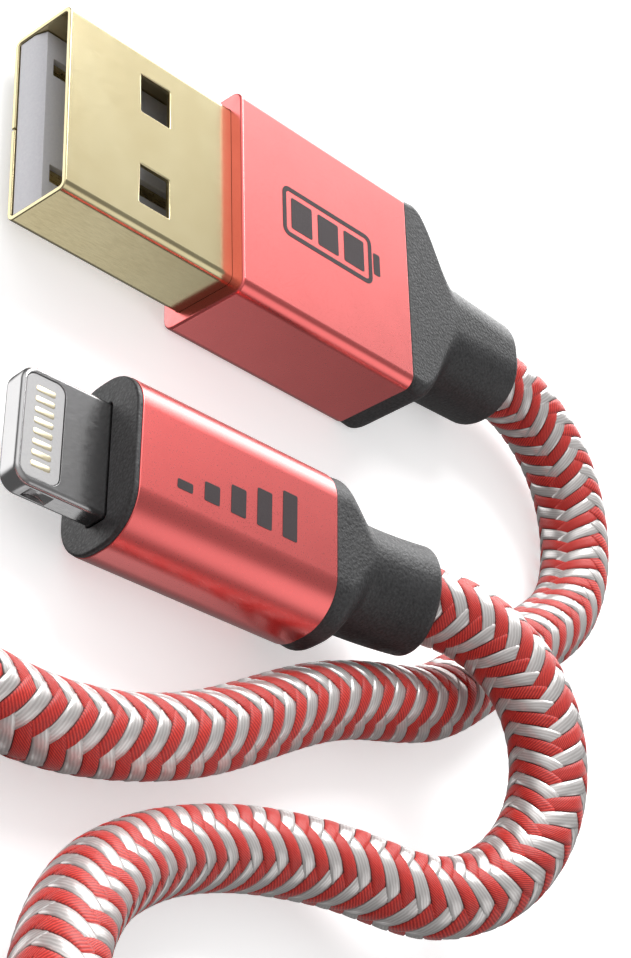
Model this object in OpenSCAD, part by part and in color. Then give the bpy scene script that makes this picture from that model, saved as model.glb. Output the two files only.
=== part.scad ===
// Braided charging cable with a USB-A plug and a flat eight-contact phone plug, lying on a flat
// surface. Each plug is drawn along +Y from its tip, width along X, wide printed face up, and
// then placed. The free cord's spare length is wound into a two-layer coil held by a strap.

/* [Cord] */
// Outside diameter of the braided cord
cord_d = 4.4; // [4.2:0.1:4.5]
// Pitch of the coil's turns, side by side and layer over layer
coil_pitch = 5; // [4.9:0.1:5.4]
// Radius of the outermost turn's centre line
coil_outer_r = 30.5; // [30:0.1:31]
// Width of the coil's strap
strap_w = 10; // [6:1:12]
// Thickness of the coil's strap
strap_t = 0.8; // [0.6:0.1:1]

/* [USB plug] */
// Width of the folded steel shell
usb_w = 12; // [11.9:0.1:14.4]
// Thickness of the folded steel shell
usb_t = 4.5; // [4.4:0.1:4.8]
// Length of the shell that stands out of the housing
usb_reach = 12; // [10:0.1:14.4]
// Sheet thickness of the shell
usb_wall = 0.3; // [0.25:0.05:0.35]
// Length of the shell inside the housing
usb_root = 4.6; // [3.5:0.1:5]
// Distance from the shell's mouth to its latch holes
latch_y = 5.16; // [4:0.1:6]
// Width of a latch hole
latch_w = 2.5; // [2:0.1:2.8]
// Length of a latch hole
latch_l = 2.1; // [1.8:0.1:2.4]
// Distance from the plug's middle to the middle of a latch hole
latch_x = 3; // [2.6:0.1:3.4]
// Width of a contact strip
usb_contact_w = 1; // [0.8:0.05:1.1]
// Depth of a contact strip under the face of the insulator
usb_contact_dip = 0.3; // [0.2:0.05:0.4]

/* [USB housing] */
// Rim of the housing round the shell, in width
usb_rim_w = 0.8; // [0.6:0.05:1.2]
// Rim of the housing round the shell, in thickness
usb_rim_t = 0.85; // [0.6:0.05:1.2]
// Length of the housing
usb_housing_l = 14; // [12:0.5:17]
// Corner radius of the housing
usb_housing_r = 0.75; // [0.5:0.05:1.2]
// Wall of the housing's sleeve
usb_housing_wall = 0.5; // [0.4:0.05:0.55]
// Thickness of the housing's front wall
usb_front_wall = 0.9; // [0.6:0.1:1.5]
// Length of the strain relief behind the housing
usb_relief_l = 10.5; // [10:0.5:13]
// Half width of the strain relief's neck
usb_neck_r = 3.5; // [3.3:0.05:3.8]

/* [Phone plug] */
// Width of the tip
tip_w = 6.7; // [6.6:0.05:6.8]
// Thickness of the tip
tip_t = 1.5; // [1.45:0.05:1.6]
// Length of the tip that stands out of the housing
tip_reach = 5.45; // [5:0.05:6.6]
// Length of the tip's frame inside the housing
tip_root = 3; // [2.5:0.1:3.5]
// Width of a contact pad, along the tip
pad_l = 1.2; // [1:0.05:1.4]
// Height of a contact pad, across the tip
pad_w = 0.37; // [0.3:0.01:0.42]
// Pitch of the eight contact pads
pad_pitch = 0.61; // [0.55:0.01:0.62]
// Depth of the retention notches in the tip's edges
notch_depth = 0.3; // [0.2:0.02:0.32]

/* [Phone housing] */
// Width of the housing
phone_w = 9.8; // [9.4:0.1:11]
// Thickness of the housing
phone_t = 5.9; // [5.6:0.1:6.6]
// Length of the housing
phone_housing_l = 13.55; // [12:0.05:16]
// Corner radius of the housing's long edges
phone_housing_r = 2.6; // [2:0.1:2.8]
// Wall of the housing's sleeve
phone_housing_wall = 0.3; // [0.25:0.05:0.4]
// Length of the strain relief behind the housing
phone_relief_l = 8.1; // [7.8:0.1:10]
// Radius of the strain relief's neck
phone_neck_r = 3.1; // [2.9:0.05:3.3]

/* [Pose] */
// Middle of the USB plug, across
usb_x = -9; // [-9.5:0.1:-8.8]
// Middle of the phone plug's front edge, across
phone_x = 10.2; // [9.8:0.1:10.5]
// Place of the USB plug's mouth
usb_y = -18; // [-18.5:0.1:-17.5]
// Place of the phone plug's front edge on the surface
phone_y = -12.9; // [-13.2:0.1:-12.6]
// Lift of the phone plug's tail, which lies over the other plug's cord
phone_tilt = 4; // [4:0.5:5]
// Turn of the phone plug about its front edge
phone_turn = -2.5; // [-3:0.5:-2]
// Upward bend of the phone plug's strain relief
phone_neck_bend = 15; // [14:1:17]

/* [Hidden] */

$fn = 48;
fit = 0.05;                        // clearance between pieces that seat in each other
eps = 0.01;                        // overshoot of a cut past the face that it opens
cord_r = cord_d / 2;
bore_r = cord_r + fit;
clamp_r = bore_r + 0.25;
wire_spread = 0.5;                 // half the distance between wires where the jacket starts

// USB plug
usb_inner_w = usb_w - 2 * usb_wall;
usb_inner_t = usb_t - 2 * usb_wall;
usb_shell_r = 0.5;
usb_seam = 0.1;                    // seam of the folded sheet, in the lower face
usb_housing_w = usb_w + 2 * usb_rim_w;
usb_housing_t = usb_t + 2 * usb_rim_t;
usb_tail_y = usb_reach + usb_housing_l;
usb_end_y = usb_tail_y + usb_relief_l;
usb_cavity_w = usb_housing_w - 2 * usb_housing_wall;
usb_cavity_t = usb_housing_t - 2 * usb_housing_wall;
usb_cavity_r = usb_housing_r - usb_housing_wall;
usb_shell_back = usb_reach + usb_root;
usb_nose_y = 0.1;                  // setback of the insulator behind the shell's mouth
usb_nose_t = 0.72;                 // height of the insulator's sloped nose
usb_nose_l = 0.25;
usb_block_y = usb_reach - 0.5;     // where the insulator fills the shell
usb_block_back = usb_shell_back - 1;
usb_contact_t = 0.25;
usb_contact_back = usb_shell_back + 1;
usb_outer_contact_x = 3.5;
usb_outer_contact_y = 0.9;
usb_data_contact_x = 1;
usb_data_contact_y = 1.9;
usb_wire_r = 0.35;
usb_wire_front = usb_shell_back + 0.4;
usb_mould_front = usb_shell_back + fit;
usb_chamber_back = usb_tail_y - 3.2;
usb_cord_in = usb_chamber_back + 0.6;
usb_flange = 0.85;
usb_taper = 4;
usb_clamp_l = 2.6;

// Phone plug
tip_skin = 0.3;                    // metal over each face of the frame's slot
tip_edge_r = 0.2;
tip_corner_r = 0.9;
tip_slot_w = 5.2;
tip_slot_t = tip_t - 2 * tip_skin;
window_y = 0.25;
window_l = 2.4;
window_r = 0.6;
pads_w = 7 * pad_pitch + pad_w;
window_w = pads_w + 1.25;
pad_y = window_y + (window_l - pad_l) / 2;
pad_dip = 0.02;
lead_w = 0.2;
lead_t = 0.1;
lead_top = tip_slot_t / 2 - 0.07;
lead_back = tip_reach + 1.8;
notch_y = 1.9;                     // middle of the retention notches
notch_l = 1.5;
notch_h = 0.85;
notch_r = (pow(notch_l / 2, 2) + pow(notch_depth, 2)) / (2 * notch_depth);
insert_back = tip_reach + 0.95;
board_w = 5;
board_t = 2 * (lead_top - lead_t - 0.02);
board_y = insert_back + 0.1;
board_l = 7.5;
phone_tail_y = tip_reach + phone_housing_l;
phone_end_y = phone_tail_y + phone_relief_l;
phone_cavity_w = phone_w - 2 * phone_housing_wall;
phone_cavity_t = phone_t - 2 * phone_housing_wall;
phone_cavity_r = phone_housing_r - phone_housing_wall;
phone_flange = 0.9;
phone_taper = 2.1;
phone_clamp_l = 2.2;
phone_bend_y = phone_tail_y + phone_flange + phone_taper - 0.4;
phone_bend_r = (phone_end_y - phone_bend_y) / (phone_neck_bend * PI / 180);
bezel_back = tip_reach + 2;
phone_mould_front = bezel_back + fit;
phone_chamber_w = 7.6;
phone_chamber_t = 3.2;
phone_chamber_back = phone_tail_y - 2.1;
phone_cord_in = phone_chamber_back + 0.3;
phone_wire_r = 0.3;

// Coil
coil_x = 46;
coil_y = -50.6;
coil_z = cord_r + strap_t + 0.1;
coil_start_angle = 165;
coil_end_angle = 85;
coil_sides = 6;
coil_rings = 24;                   // rings in one turn
coil_climb = 0.5;                  // turns in which the coil climbs to its upper layer
coil_turns = 7 + (coil_end_angle - coil_start_angle) / 360;
coil_layer_turns = (coil_turns - coil_climb) / 2;
coil_inner_r = coil_outer_r - coil_layer_turns * coil_pitch;
coil_steps = round(coil_turns * coil_rings);
coil_start_way = heading(coil_start_angle);
coil_end_way = heading(coil_end_angle);
coil_path = concat(
    [coil_point(0) - cord_d * coil_start_way],
    [for (i = [0:coil_steps]) coil_point(i * coil_turns / coil_steps)],
    [coil_point(coil_turns) + cord_d * coil_end_way]
);
strap_angle = 190;
strap_gap = 0.1;
strap_corner_r = 1.5;

// Routes of the free cord, from each strain relief to the coil, with points chosen by hand
run_sides = 10;
usb_run_start = [usb_x, usb_y + usb_end_y, usb_housing_t / 2];
usb_run_way = [0, 1, 0];
usb_run = concat([usb_run_start], [
    [-8.68, 21.81, 3.08], [-7.73, 23.95, 3], [-6.24, 25.75, 2.88], [-4.31, 27.07, 2.7],
    [-2.1, 27.81, 2.5], [0.24, 27.91, 2.35], [2.51, 27.38, 2.25], [4.55, 26.24, 2.2],
    [6.2, 24.59, 2.2], [8.61, 21.39, 2.2], [11.01, 18.2, 2.2], [13.42, 15, 2.2],
    [14.82, 12.67, 2.2], [15.7, 10.1, 2.2], [16.45, 6.98, 2.2], [17.58, 3.6, 2.2],
    [19.18, 0.3, 2.2], [21.8, -4.8, 2.2], [23.15, -8.4, 2.2], [24.05, -12.1, 2.2],
    [24.4, -15.9, 2.2], [24.1, -19.7, 2.2], [23.2, -23.4, 2.2], [21.9, -27, 2.25],
    [20.45, -30.6, 2.45], [19.1, -34.2, 2.8]
], [coil_path[0]]);
phone_run_start = phone_to_room([
    0,
    phone_bend_y + phone_bend_r * sin(phone_neck_bend),
    phone_bend_r * (1 - cos(phone_neck_bend))
]);
phone_run_way = turn_z(
    turn_x([0, cos(phone_neck_bend), sin(phone_neck_bend)], phone_tilt), phone_turn
);
phone_run = concat([phone_run_start], [
    [11.55, 11.15, 6.09], [12.53, 13.16, 6.69], [14.01, 14.82, 7.08], [15.88, 16.03, 7.22],
    [18.01, 16.69, 7.13], [20.24, 16.75, 6.89], [22.4, 16.21, 6.5], [24.34, 15.11, 5.98],
    [25.91, 13.52, 5.41], [26.99, 11.57, 4.83], [27.51, 9.4, 4.27], [27.42, 7.18, 3.75],
    [27, 3.98, 3.09], [26.96, 1.26, 2.62], [27.19, -1.45, 2.32], [27.71, -4.12, 2.22],
    [28.51, -6.72, 2.35], [29.57, -9.23, 2.75], [30.66, -11.2, 3.25], [32.05, -13.3, 3.97],
    [34.37, -15.69, 5.04], [37.36, -17.74, 6.35], [40.71, -19.15, 7.54]
], [coil_path[len(coil_path) - 1]]);

echo(free_cord_length = path_length(usb_run) + path_length(coil_path) + path_length(phone_run));
echo(coil_least_gap = least_gap(coil_path, coil_rings));

function sum(v) = v * [for (x = v) 1];
function unit(v) = v / norm(v);
function ease(t) = (1 - cos(180 * t)) / 2;
function mix(a, b, t) = a + (b - a) * t;
function turn_x(p, a) = [p.x, p.y * cos(a) - p.z * sin(a), p.y * sin(a) + p.z * cos(a)];
function turn_z(p, a) = [p.x * cos(a) - p.y * sin(a), p.x * sin(a) + p.y * cos(a), p.z];
function heading(a) = [-sin(a), cos(a), 0];

// A point of the phone plug's own frame, in the frame of the whole object
function phone_to_room(p) =
    [phone_x, phone_y, 0] + turn_z(turn_x(p + [0, -tip_reach, phone_t / 2], phone_tilt), phone_turn);

// Centre line of the coil after u turns: inwards below, then outwards above
function coil_point(u) =
    let (
        climb = u - coil_layer_turns,
        up = u - coil_layer_turns - coil_climb,
        r = climb < 0 ? coil_outer_r - coil_pitch * u
            : up < 0 ? coil_inner_r - coil_pitch * climb * (1 - climb / coil_climb)
            : coil_inner_r + coil_pitch * up,
        rise = climb < 0 ? 0 : up < 0 ? ease(climb / coil_climb) : 1,
        a = coil_start_angle + 360 * u
    )
    [coil_x + r * cos(a), coil_y + r * sin(a), coil_z + coil_pitch * rise];

function path_length(p) = sum([for (i = [1:len(p) - 1]) norm(p[i] - p[i - 1])]);
function least_gap(p, apart) =
    min([for (i = [0:len(p) - 1], j = [i + round(apart * 0.7):1:len(p) - 1]) norm(p[i] - p[j])]) - cord_d;
function path_way(p, i, first, last) =
    i == 0 ? first : i == len(p) - 1 ? last : unit(p[i + 1] - p[i - 1]);

// Ring of a tube about p, square to the way w
function tube_ring(p, w, r, sides) =
    let (across = unit(cross(w, [0, 0, 1])), up = cross(across, w))
    [for (k = [0:sides - 1])
        let (a = 360 * (k + 0.5) / sides)
        p + r * (cos(a) * across + sin(a) * up)];

// Rounded-rectangle ring of a strain relief at y, with half width w, half height h and radius r
function relief_ring(y, w, h, r) =
    [for (c = [0:3], k = [0:7])
        let (
            a = 90 * (c + k / 7),
            x0 = (c == 0 || c == 3 ? 1 : -1) * (w - r),
            z0 = (c < 2 ? 1 : -1) * (h - r)
        )
        [x0 + r * cos(a), y, z0 + r * sin(a)]];

// A point of the straight phone plug, carried along by the bend of its strain relief
function bent(p) =
    let (a = (p.y - phone_bend_y) / phone_bend_r * 180 / PI)
    a <= 0 ? p : [
        p.x,
        phone_bend_y + (phone_bend_r - p.z) * sin(a),
        phone_bend_r - (phone_bend_r - p.z) * cos(a)
    ];

// Solid skin over a list of rings with the same number of points
module loft(rings) {
    n = len(rings[0]);
    last = (len(rings) - 1) * n;
    polyhedron(
        [for (ring = rings, p = ring) p],
        concat(
            [for (k = [1:n - 2]) [0, k, k + 1]],
            [for (k = [1:n - 2]) [last, last + k + 1, last + k]],
            [for (i = [0:n:last - n], k = [0:n - 1]) [i + k, i + n + k, i + n + (k + 1) % n]],
            [for (i = [0:n:last - n], k = [0:n - 1]) [i + k, i + n + (k + 1) % n, i + (k + 1) % n]]
        )
    );
}

module tube(path, first, last, sides) {
    loft([for (i = [0:len(path) - 1]) tube_ring(path[i], path_way(path, i, first, last), cord_r, sides)]);
}

module rounded_rect(w, h, r) {
    square([w, h - 2 * r], center = true);
    square([w - 2 * r, h], center = true);
    for (x = [-1, 1], y = [-1, 1])
        translate([x * (w / 2 - r), y * (h / 2 - r)])
            circle(r);
}

// Bar along Y with a rounded-rectangle section
module bar(w, h, r, y0, y1) {
    translate([0, y1, 0])
        rotate([90, 0, 0])
            linear_extrude(y1 - y0)
                rounded_rect(w, h, r);
}

// Round bar along Y
module round_bar(r, y0, y1) {
    translate([0, y0, 0])
        rotate([-90, 0, 0])
            cylinder(r = r, h = y1 - y0);
}

// Round bar from a to b
module wire(a, b, r) {
    d = b - a;
    translate(a)
        rotate([0, acos(d.z / norm(d)), atan2(d.y, d.x)])
            cylinder(r = r, h = norm(d));
}

// Block between two corners
module block(a, b) {
    translate(a)
        cube(b - a);
}

module usb_place() {
    translate([usb_x, usb_y, usb_housing_t / 2])
        children();
}

module phone_place() {
    translate([phone_x, phone_y, 0])
        rotate([0, 0, phone_turn])
            rotate([phone_tilt, 0, 0])
                translate([0, -tip_reach, phone_t / 2])
                    children();
}

module usb_shell() {
    color("gold")
        usb_place()
            difference() {
                bar(usb_w, usb_t, usb_shell_r, 0, usb_shell_back);
                bar(usb_inner_w, usb_inner_t, usb_shell_r - usb_wall, -eps, usb_shell_back + eps);
                for (x = [-latch_x, latch_x])
                    block(
                        [x - latch_w / 2, latch_y, -usb_t / 2 - eps],
                        [x + latch_w / 2, latch_y + latch_l, usb_t / 2 + eps]
                    );
                block(
                    [-usb_seam / 2, -eps, -usb_t / 2 - eps],
                    [usb_seam / 2, usb_shell_back + eps, -usb_inner_t / 2 + eps]
                );
            }
}

// Contact strip from its front end at y to its solder tail, or with more the room round it
module usb_contact(x, y, more) {
    block(
        [x - usb_contact_w / 2 - more, y - more, -usb_contact_dip - usb_contact_t - more],
        [x + usb_contact_w / 2 + more, usb_contact_back + more, -usb_contact_dip + more]
    );
}

module usb_contact_groove(x, y) {
    usb_contact(x, y, fit);
    block(
        [x - usb_contact_w / 2 - fit, y - fit, -usb_contact_dip],
        [x + usb_contact_w / 2 + fit, usb_block_y, eps]
    );
}

module usb_insulator() {
    half_w = usb_inner_w / 2 - fit;
    half_t = usb_inner_t / 2 - fit;
    color("white")
        usb_place()
            difference() {
                intersection() {
                    bar(2 * half_w, 2 * half_t, usb_shell_r - usb_wall, usb_nose_y, usb_block_back);
                    translate([-half_w, 0, 0])
                        rotate([90, 0, 90])
                            linear_extrude(2 * half_w)
                                polygon([
                                    [usb_nose_y, -half_t], [usb_nose_y, -usb_nose_t],
                                    [usb_nose_y + usb_nose_l, 0], [usb_block_y, 0],
                                    [usb_block_y, half_t], [usb_block_back, half_t],
                                    [usb_block_back, -half_t]
                                ]);
                }
                for (x = [-usb_outer_contact_x, usb_outer_contact_x])
                    usb_contact_groove(x, usb_outer_contact_y);
                for (x = [-usb_data_contact_x, usb_data_contact_x])
                    usb_contact_groove(x, usb_data_contact_y);
            }
}

module usb_power_contact() {
    color("goldenrod")
        usb_place()
            usb_contact(usb_outer_contact_x, usb_outer_contact_y, 0);
}

module usb_data_minus_contact() {
    color("goldenrod")
        usb_place()
            usb_contact(usb_data_contact_x, usb_data_contact_y, 0);
}

module usb_data_plus_contact() {
    color("goldenrod")
        usb_place()
            usb_contact(-usb_data_contact_x, usb_data_contact_y, 0);
}

module usb_ground_contact() {
    color("goldenrod")
        usb_place()
            usb_contact(-usb_outer_contact_x, usb_outer_contact_y, 0);
}

module usb_inner_mould() {
    color("dimgray")
        usb_place()
            difference() {
                bar(
                    usb_cavity_w - 2 * fit, usb_cavity_t - 2 * fit, usb_cavity_r,
                    usb_mould_front, usb_tail_y - fit
                );
                block(
                    [-usb_inner_w / 2 + 0.8, usb_mould_front - eps, -usb_inner_t / 2 + 0.4],
                    [usb_inner_w / 2 - 0.8, usb_chamber_back, usb_inner_t / 2 - 0.4]
                );
                round_bar(bore_r, usb_chamber_back - eps, usb_tail_y);
            }
}

module usb_wires() {
    z = usb_wire_r - usb_contact_dip + fit;
    color("firebrick")
        usb_place()
            for (side = [-1, 1]) {
                wire(
                    [side * usb_outer_contact_x, usb_wire_front, z + fit],
                    [side * wire_spread, usb_cord_in - 0.25, wire_spread], usb_wire_r
                );
                wire(
                    [side * usb_data_contact_x, usb_wire_front, z + fit],
                    [side * wire_spread, usb_cord_in - 0.25, -wire_spread], usb_wire_r
                );
            }
}

module usb_cord_clamp() {
    color("silver")
        usb_place()
            difference() {
                round_bar(clamp_r, usb_tail_y + 0.3, usb_tail_y + 0.3 + usb_clamp_l);
                round_bar(bore_r, usb_tail_y, usb_tail_y + usb_clamp_l + 1);
            }
}

module usb_cord_end() {
    color("indianred")
        usb_place()
            round_bar(cord_r, usb_cord_in, usb_end_y);
}

module usb_housing() {
    color("salmon")
        usb_place()
            difference() {
                bar(usb_housing_w, usb_housing_t, usb_housing_r, usb_reach, usb_tail_y);
                bar(
                    usb_cavity_w, usb_cavity_t, usb_cavity_r,
                    usb_reach + usb_front_wall, usb_tail_y + eps
                );
                bar(
                    usb_w + 2 * fit, usb_t + 2 * fit, usb_shell_r + fit,
                    usb_reach - eps, usb_reach + usb_front_wall + eps
                );
            }
}

module usb_strain_relief() {
    half_w = usb_housing_w / 2;
    half_t = usb_housing_t / 2;
    y0 = usb_tail_y + usb_flange;
    y1 = usb_end_y - 0.5;
    color("darkslategray")
        usb_place()
            difference() {
                loft(concat(
                    [relief_ring(usb_tail_y, half_w - 0.1, half_t, usb_housing_r)],
                    [for (k = [0:8])
                        let (t = k / 8, s = ease(t))
                        relief_ring(
                            mix(y0, y0 + usb_taper, t), mix(half_w, usb_neck_r + 0.2, s), half_t,
                            mix(usb_housing_r, half_t - 0.1, s)
                        )],
                    [relief_ring(mix(y0 + usb_taper, y1, 0.5), usb_neck_r + 0.1, half_t, half_t - 0.05)],
                    [for (k = [0:2])
                        relief_ring(
                            y1 + 0.5 * sin(45 * k), usb_neck_r - 0.5 * (1 - cos(45 * k)),
                            half_t - 0.5 * (1 - cos(45 * k)), half_t - 0.05 - 0.5 * (1 - cos(45 * k))
                        )]
                ));
                round_bar(bore_r, usb_tail_y - eps, usb_end_y + eps);
                round_bar(clamp_r + fit, usb_tail_y - eps, usb_tail_y + 0.3 + usb_clamp_l + fit);
            }
}

module tip_outline() {
    difference() {
        bar(tip_w, tip_t, tip_edge_r, 0, tip_reach + tip_root);
        for (x = [-1, 1])
            translate([x * (tip_w / 2 - tip_corner_r), 0, 0])
                difference() {
                    block(
                        [min(0, x * (tip_corner_r + eps)), -eps, -tip_t],
                        [max(0, x * (tip_corner_r + eps)), tip_corner_r, tip_t]
                    );
                    translate([0, tip_corner_r, 0])
                        cylinder(r = tip_corner_r, h = 3 * tip_t, center = true);
                }
    }
}

// Space for the insert: the slot of the frame and both windows, less a clearance
module tip_space(less) {
    block(
        [-tip_slot_w / 2 + less, window_y + less, -tip_slot_t / 2 + less],
        [tip_slot_w / 2 - less, insert_back, tip_slot_t / 2 - less]
    );
    translate([0, window_y + window_l / 2, 0])
        linear_extrude(tip_t + (less > 0 ? -2 * fit : 2 * eps), center = true)
            rounded_rect(window_w - 2 * less, window_l - 2 * less, window_r - less);
}

module phone_tip_frame() {
    color("silver")
        phone_place()
            difference() {
                tip_outline();
                tip_space(0);
                block(
                    [-tip_slot_w / 2, insert_back - eps, -tip_slot_t / 2],
                    [tip_slot_w / 2, tip_reach + tip_root + eps, tip_slot_t / 2]
                );
                for (x = [-1, 1])
                    translate([x * (tip_w / 2 + notch_r - notch_depth), notch_y, 0])
                        cylinder(r = notch_r, h = notch_h, center = true);
            }
}

// One contact: its pad in the window and its lead to the circuit board
module phone_contact(x, more) {
    block(
        [x - pad_w / 2 - more, pad_y - more, lead_top - lead_t - more],
        [x + pad_w / 2 + more, pad_y + pad_l + more, tip_t / 2 - pad_dip + 3 * more]
    );
    block(
        [x - lead_w / 2 - more, pad_y + pad_l - eps, lead_top - lead_t - more],
        [x + lead_w / 2 + more, lead_back + more, lead_top + more]
    );
}

module phone_contact_row(more) {
    for (k = [-3.5:3.5])
        phone_contact(k * pad_pitch, more);
}

module phone_tip_insert() {
    color("lightgray")
        phone_place()
            difference() {
                tip_space(fit);
                phone_contact_row(fit / 2);
                mirror([0, 0, 1])
                    phone_contact_row(fit / 2);
            }
}

module phone_contacts_top() {
    color("gold")
        phone_place()
            phone_contact_row(0);
}

module phone_contacts_bottom() {
    color("gold")
        phone_place()
            mirror([0, 0, 1])
                phone_contact_row(0);
}

module phone_circuit_board() {
    color("darkgreen")
        phone_place()
            block(
                [-board_w / 2, board_y, -board_t / 2],
                [board_w / 2, board_y + board_l, board_t / 2]
            );
}

module phone_control_chips() {
    y = tip_reach + tip_root + 0.3;
    color("black")
        phone_place() {
            block([-1.9, y, board_t / 2 + fit], [0.6, y + 2.1, board_t / 2 + 0.75]);
            block([1, y + 0.4, board_t / 2 + fit], [2.1, y + 1.6, board_t / 2 + 0.5]);
            block([-1, y + 0.3, -board_t / 2 - 0.6], [1, y + 2, -board_t / 2 - fit]);
        }
}

module phone_bezel() {
    color("dimgray")
        phone_place()
            difference() {
                bar(
                    phone_cavity_w - 2 * fit, phone_cavity_t - 2 * fit, phone_cavity_r - fit,
                    tip_reach, bezel_back
                );
                bar(tip_w + 2 * fit, tip_t + 2 * fit, tip_edge_r + fit, tip_reach - eps, bezel_back + eps);
            }
}

module phone_inner_mould() {
    color("dimgray")
        phone_place()
            difference() {
                bar(
                    phone_cavity_w - 2 * fit, phone_cavity_t - 2 * fit, phone_cavity_r - fit,
                    phone_mould_front, phone_tail_y - fit
                );
                block(
                    [-phone_chamber_w / 2, phone_mould_front - eps, -phone_chamber_t / 2],
                    [phone_chamber_w / 2, phone_chamber_back, phone_chamber_t / 2]
                );
                round_bar(bore_r, phone_chamber_back - eps, phone_tail_y);
            }
}

module phone_wires() {
    z = board_t / 2 + phone_wire_r + fit;
    color("firebrick")
        phone_place()
            for (x = [-1, 1], up = [-1, 1])
                wire(
                    [x * 1.5, board_y + board_l - 0.8, up * z],
                    [x * wire_spread, phone_cord_in - 0.2, up * wire_spread], phone_wire_r
                );
}

module phone_cord_clamp() {
    color("silver")
        phone_place()
            difference() {
                round_bar(clamp_r, phone_tail_y + 0.2, phone_tail_y + 0.2 + phone_clamp_l);
                round_bar(bore_r, phone_tail_y, phone_tail_y + phone_clamp_l + 1);
            }
}

// Round bar along the bent part of the strain relief
module bent_bar(r, angle) {
    translate([0, phone_bend_y, phone_bend_r])
        rotate([0, 90, 0])
            rotate_extrude(angle = angle)
                translate([phone_bend_r, 0])
                    circle(r);
}

module phone_cord_end() {
    color("indianred")
        phone_place() {
            round_bar(cord_r, phone_cord_in, phone_bend_y);
            bent_bar(cord_r, phone_neck_bend);
        }
}

module phone_housing() {
    color("salmon")
        phone_place()
            difference() {
                bar(phone_w, phone_t, phone_housing_r, tip_reach, phone_tail_y);
                bar(
                    phone_cavity_w, phone_cavity_t, phone_cavity_r,
                    tip_reach - eps, phone_tail_y + eps
                );
            }
}

module phone_strain_relief() {
    half_w = phone_w / 2;
    half_t = phone_t / 2;
    y0 = phone_tail_y + phone_flange;
    y1 = y0 + phone_taper;
    neck_r = phone_neck_r - 0.02;
    color("darkslategray")
        phone_place()
            difference() {
                loft([for (ring = concat(
                    [relief_ring(phone_tail_y, half_w - 0.1, half_t, phone_housing_r)],
                    [for (k = [0:5])
                        let (t = k / 5, s = ease(t))
                        relief_ring(
                            mix(y0, y1, t), mix(half_w, phone_neck_r, s), mix(half_t, phone_neck_r, s),
                            mix(phone_housing_r, neck_r, s)
                        )],
                    [for (k = [1:5])
                        relief_ring(
                            mix(y1, phone_end_y - 0.4, k / 5), phone_neck_r, phone_neck_r, neck_r
                        )],
                    [for (end = [[0.12, 0.12], [0, 0.4]])
                        relief_ring(
                            phone_end_y - end[0], phone_neck_r - end[1], phone_neck_r - end[1],
                            neck_r - end[1]
                        )]
                )) [for (p = ring) bent(p)]]);
                round_bar(bore_r, phone_tail_y - eps, phone_bend_y + eps);
                bent_bar(bore_r, phone_neck_bend + 1);
                round_bar(clamp_r + fit, phone_tail_y - eps, phone_tail_y + 0.2 + phone_clamp_l + fit);
            }
}

module cord_usb_run() {
    color("indianred")
        tube(usb_run, usb_run_way, coil_start_way, run_sides);
}

module cord_coil() {
    color("indianred")
        tube(coil_path, coil_start_way, coil_end_way, coil_sides);
}

module cord_phone_run() {
    color("indianred")
        tube(phone_run, phone_run_way, -coil_end_way, run_sides);
}

module coil_strap() {
    inner = sqrt(pow(coil_inner_r - cord_r, 2) - pow(strap_w / 2, 2)) - strap_gap;
    outer = coil_outer_r + cord_r + strap_gap;
    w = outer - inner;
    h = coil_pitch + cord_d + 2 * strap_gap;
    color("dimgray")
        translate([coil_x, coil_y, 0])
            rotate([0, 0, strap_angle])
                translate([(inner + outer) / 2, 0, strap_t + h / 2])
                    rotate([90, 0, 0])
                        linear_extrude(strap_w, center = true)
                            difference() {
                                rounded_rect(w + 2 * strap_t, h + 2 * strap_t, strap_corner_r + strap_t);
                                rounded_rect(w, h, strap_corner_r);
                            }
}

usb_shell();
usb_insulator();
usb_power_contact();
usb_data_minus_contact();
usb_data_plus_contact();
usb_ground_contact();
usb_inner_mould();
usb_wires();
usb_cord_clamp();
usb_cord_end();
usb_housing();
usb_strain_relief();
phone_tip_frame();
phone_tip_insert();
phone_contacts_top();
phone_contacts_bottom();
phone_circuit_board();
phone_control_chips();
phone_bezel();
phone_inner_mould();
phone_wires();
phone_cord_clamp();
phone_cord_end();
phone_housing();
phone_strain_relief();
cord_usb_run();
cord_coil();
cord_phone_run();
coil_strap();
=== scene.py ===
import math

import bmesh
import bpy
import numpy as np
from mathutils import Matrix, Vector


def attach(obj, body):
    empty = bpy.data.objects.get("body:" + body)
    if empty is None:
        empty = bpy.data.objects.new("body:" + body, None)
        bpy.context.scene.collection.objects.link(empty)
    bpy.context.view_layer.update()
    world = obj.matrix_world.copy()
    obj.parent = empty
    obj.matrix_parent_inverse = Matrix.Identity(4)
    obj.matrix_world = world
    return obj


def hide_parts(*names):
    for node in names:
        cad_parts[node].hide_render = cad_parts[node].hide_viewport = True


# Looks of the braided charging cable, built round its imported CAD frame.
# Lengths are in millimetres, and become metres where a mesh is made.

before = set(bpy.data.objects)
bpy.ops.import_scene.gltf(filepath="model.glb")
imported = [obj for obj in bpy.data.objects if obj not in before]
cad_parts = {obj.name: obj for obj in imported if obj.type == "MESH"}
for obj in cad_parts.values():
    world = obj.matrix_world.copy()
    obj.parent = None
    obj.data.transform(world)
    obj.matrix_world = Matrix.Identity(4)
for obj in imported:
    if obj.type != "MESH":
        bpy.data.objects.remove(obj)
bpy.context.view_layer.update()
MM = 0.001
scene = bpy.context.scene

# ---------------------------------------------------------------- camera

IMAGE_W, IMAGE_H = 631, 958       # pixels of the photograph
LENS, SENSOR = 86.003, 36         # millimetres
CAMERA_PLACE = (0.0669093, -0.0789458, 0.0763638)
CAMERA_TURN = (
    (0.0253776, -0.8697553, 0.4928303),
    (0.6781607, -0.3472268, -0.6477126),
    (0.7344754, 0.3506555, 0.5810221),
)

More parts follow.
